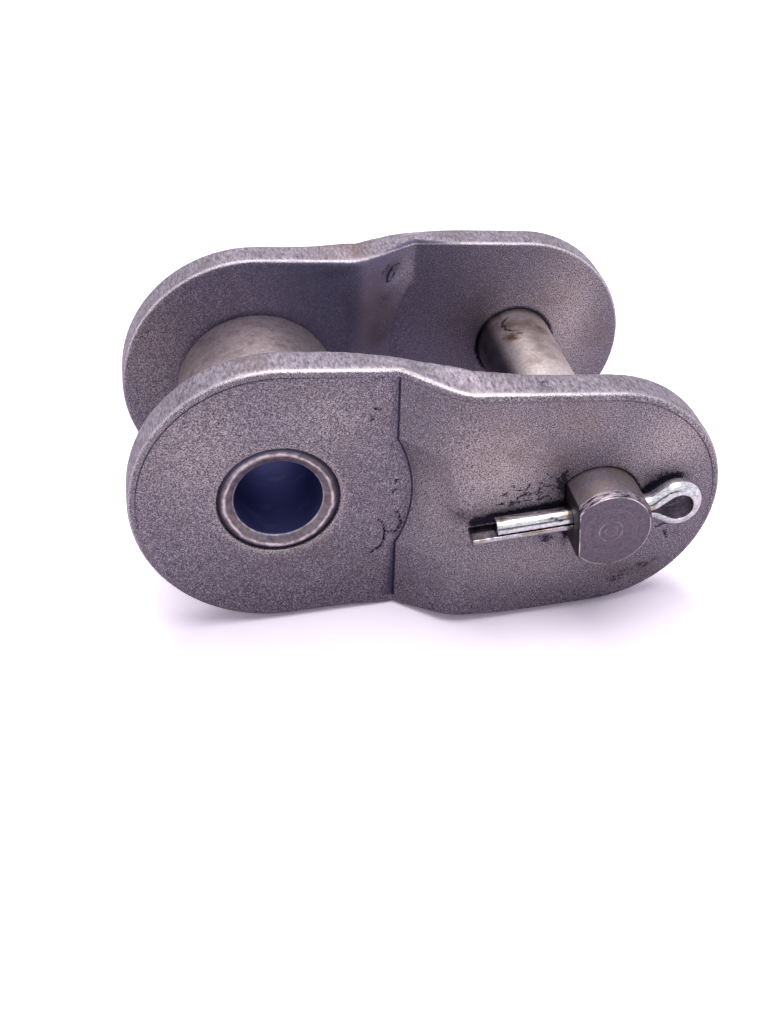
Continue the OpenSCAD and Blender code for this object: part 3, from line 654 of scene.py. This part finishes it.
# Fine lines from the drawing die run along the legs.
drawn_spot = add(tree, "VectorRotate", {"Vector": spot, "Angle": LEAN}, rotation_type="Y_AXIS").outputs[0]
drawn_spot = add(tree, "Mapping", {"Vector": drawn_spot, "Scale": (0.12, 1.0, 1.0)}).outputs[0]
drawn = add(tree, "TexNoise", {"Vector": drawn_spot, "Scale": 1 / (0.4 * MM), "Detail": 3.0}).outputs[0]
tone = add(tree, "MapRange", {0: drawn, 1: 0.5, 2: 0.66, 4: 0.5}).outputs[0]
colour = add(tree, "Mix", {0: tone, 6: colour, 7: srgb("#6f6d74")}, data_type="RGBA").outputs[2]
stains_and_shade = add(tree, "Attribute", attribute_name="stains_and_shade").outputs["Color"]
mark = add(tree, "SeparateColor", {0: stains_and_shade}).outputs
tone = add(tree, "MapRange", {0: cloud, 1: 0.35, 2: 0.6}).outputs[0]
tone = add(tree, "Math", {0: tone, 1: mark[0]}, operation="MULTIPLY").outputs[0]
colour = add(tree, "Mix", {0: tone, 6: colour, 7: srgb("#7d5a2c")}, data_type="RGBA").outputs[2]
colour = add(tree, "Mix", {0: mark[1], 6: colour, 7: srgb("#2c2934")}, data_type="RGBA").outputs[2]
tree.links.new(colour, shader.inputs["Base Color"])
shader.inputs["Roughness"].default_value = 0.18
bump = add(tree, "Bump", {"Height": speck, "Strength": 0.15, "Distance": 0.04 * MM})
tree.links.new(bump.outputs[0], shader.inputs["Normal"])
split_pin.data.materials.clear()
split_pin.data.materials.append(zinc_plate)
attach(split_pin, "split_pin")
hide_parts("split_pin")


# Floor and light. The link lies on the swells of its rims beside the bends, with both round ends just
# clear of the white paper, under one wide soft lamp and an even white room.
def seen_rays(tree):
    """1 for rays that show a surface or its mirror image, 0 for those that only carry light."""
    path = add(tree, "LightPath").outputs
    seen = path["Is Camera Ray"]
    for kind in ("Is Glossy Ray", "Is Transmission Ray"):
        seen = add(tree, "Math", {0: seen, 1: path[kind]}, operation="MAXIMUM").outputs[0]
    return seen

SLOPE = math.radians(3.414)
REST = 24.72
bm = bmesh.new()
bmesh.ops.create_grid(bm, x_segments=1, y_segments=1, size=4.0)
lay = Matrix.Rotation(-SLOPE, 4, "Y") @ Matrix.Translation((0, 0, -REST * MM))
bmesh.ops.transform(bm, verts=bm.verts, matrix=lay)
floor = to_object(bm, "floor")
# White paper: matt, and lifted a little to white wherever it is seen or mirrored.
white_paper, tree, shader = new_material("white_paper", 0.0)
shader.inputs["Roughness"].default_value = 0.9
shader.inputs["Specular IOR Level"].default_value = 0.1
shader.inputs["Emission Color"].default_value = srgb("#fdf8ff")
seen_first = add(tree, "LightPath").outputs["Is Camera Ray"]
paper = add(tree, "Mix", {0: seen_first, 6: srgb("#f6ecfa"), 7: (1.5, 1.4, 1.58, 1.0)},
            data_type="RGBA").outputs[2]
tree.links.new(paper, shader.inputs["Base Color"])
seen = seen_rays(tree)
away = add(tree, "VectorMath", {0: add(tree, "TexCoord").outputs["Object"]},
           operation="LENGTH").outputs["Value"]
lift = add(tree, "MapRange", {0: away, 1: 0.08, 2: 0.5, 3: 0.05, 4: 0.6}).outputs[0]
lift = add(tree, "Math", {0: seen, 1: lift}, operation="MULTIPLY").outputs[0]
tree.links.new(lift, shader.inputs["Emission Strength"])
floor.data.materials.append(white_paper)

world = bpy.data.worlds.new("studio")
world.use_nodes = True
tree = world.node_tree
level = add(tree, "MapRange", {0: seen_rays(tree), 3: 0.42, 4: 1.06}).outputs[0]
tree.links.new(level, tree.nodes["Background"].inputs["Strength"])
tree.nodes["Background"].inputs["Color"].default_value = (0.975, 0.975, 1.06, 1.0)
bpy.context.scene.world = world

lamp = bpy.data.objects.new("lamp", bpy.data.lights.new("lamp", "AREA"))
lamp.data.shape = "RECTANGLE"
lamp.data.size = 0.3
lamp.data.size_y = 0.7
lamp.data.energy = 2.6
lamp.data.color = (1.0, 0.96, 0.92)
place = Vector((20, 30, 520)) * MM
aim = Vector((25, 0, 0)) * MM
turn = (aim - place).to_track_quat("-Z", "Y").to_matrix().to_4x4()
lamp.matrix_world = Matrix.Translation(place) @ turn
bpy.context.scene.collection.objects.link(lamp)

# A dark card behind the photographer gives bright wire the dark line that it shows in the photograph.
bm = bmesh.new()
bmesh.ops.create_grid(bm, x_segments=1, y_segments=1, size=0.5)
upright = Matrix.Translation((0, -0.6, 0.22)) @ Matrix.Rotation(math.pi / 2, 4, "X")
bmesh.ops.transform(bm, verts=bm.verts, matrix=upright @ Matrix.Diagonal((0.5, 0.18, 1.0, 1.0)))
card = to_object(bm, "card")
card.visible_camera = False
dark_card, tree, shader = new_material("dark_card", 0.0)
shader.inputs["Base Color"].default_value = srgb("#2c2c34")
card.data.materials.append(dark_card)

# Camera at the photograph's place.
camera = bpy.data.objects.new("camera", bpy.data.cameras.new("camera"))
right = Vector((0.9846, -0.1733, 0.0238))
up = Vector((0.0838, 0.5869, 0.8053))
back = -Vector((0.1535, 0.7909, -0.5924))
turn = Matrix((right, up, back)).transposed().to_4x4()
camera.matrix_world = Matrix.Translation(Vector((-16.19, -194.5, 125.15)) * MM) @ turn
FOCAL_PIXELS, PHOTO_HEIGHT, SENSOR = 1323.8, 1024, 36
camera.data.lens = FOCAL_PIXELS * SENSOR / PHOTO_HEIGHT
bpy.context.scene.collection.objects.link(camera)
bpy.context.scene.camera = camera
bpy.context.scene.view_settings.view_transform = "Standard"
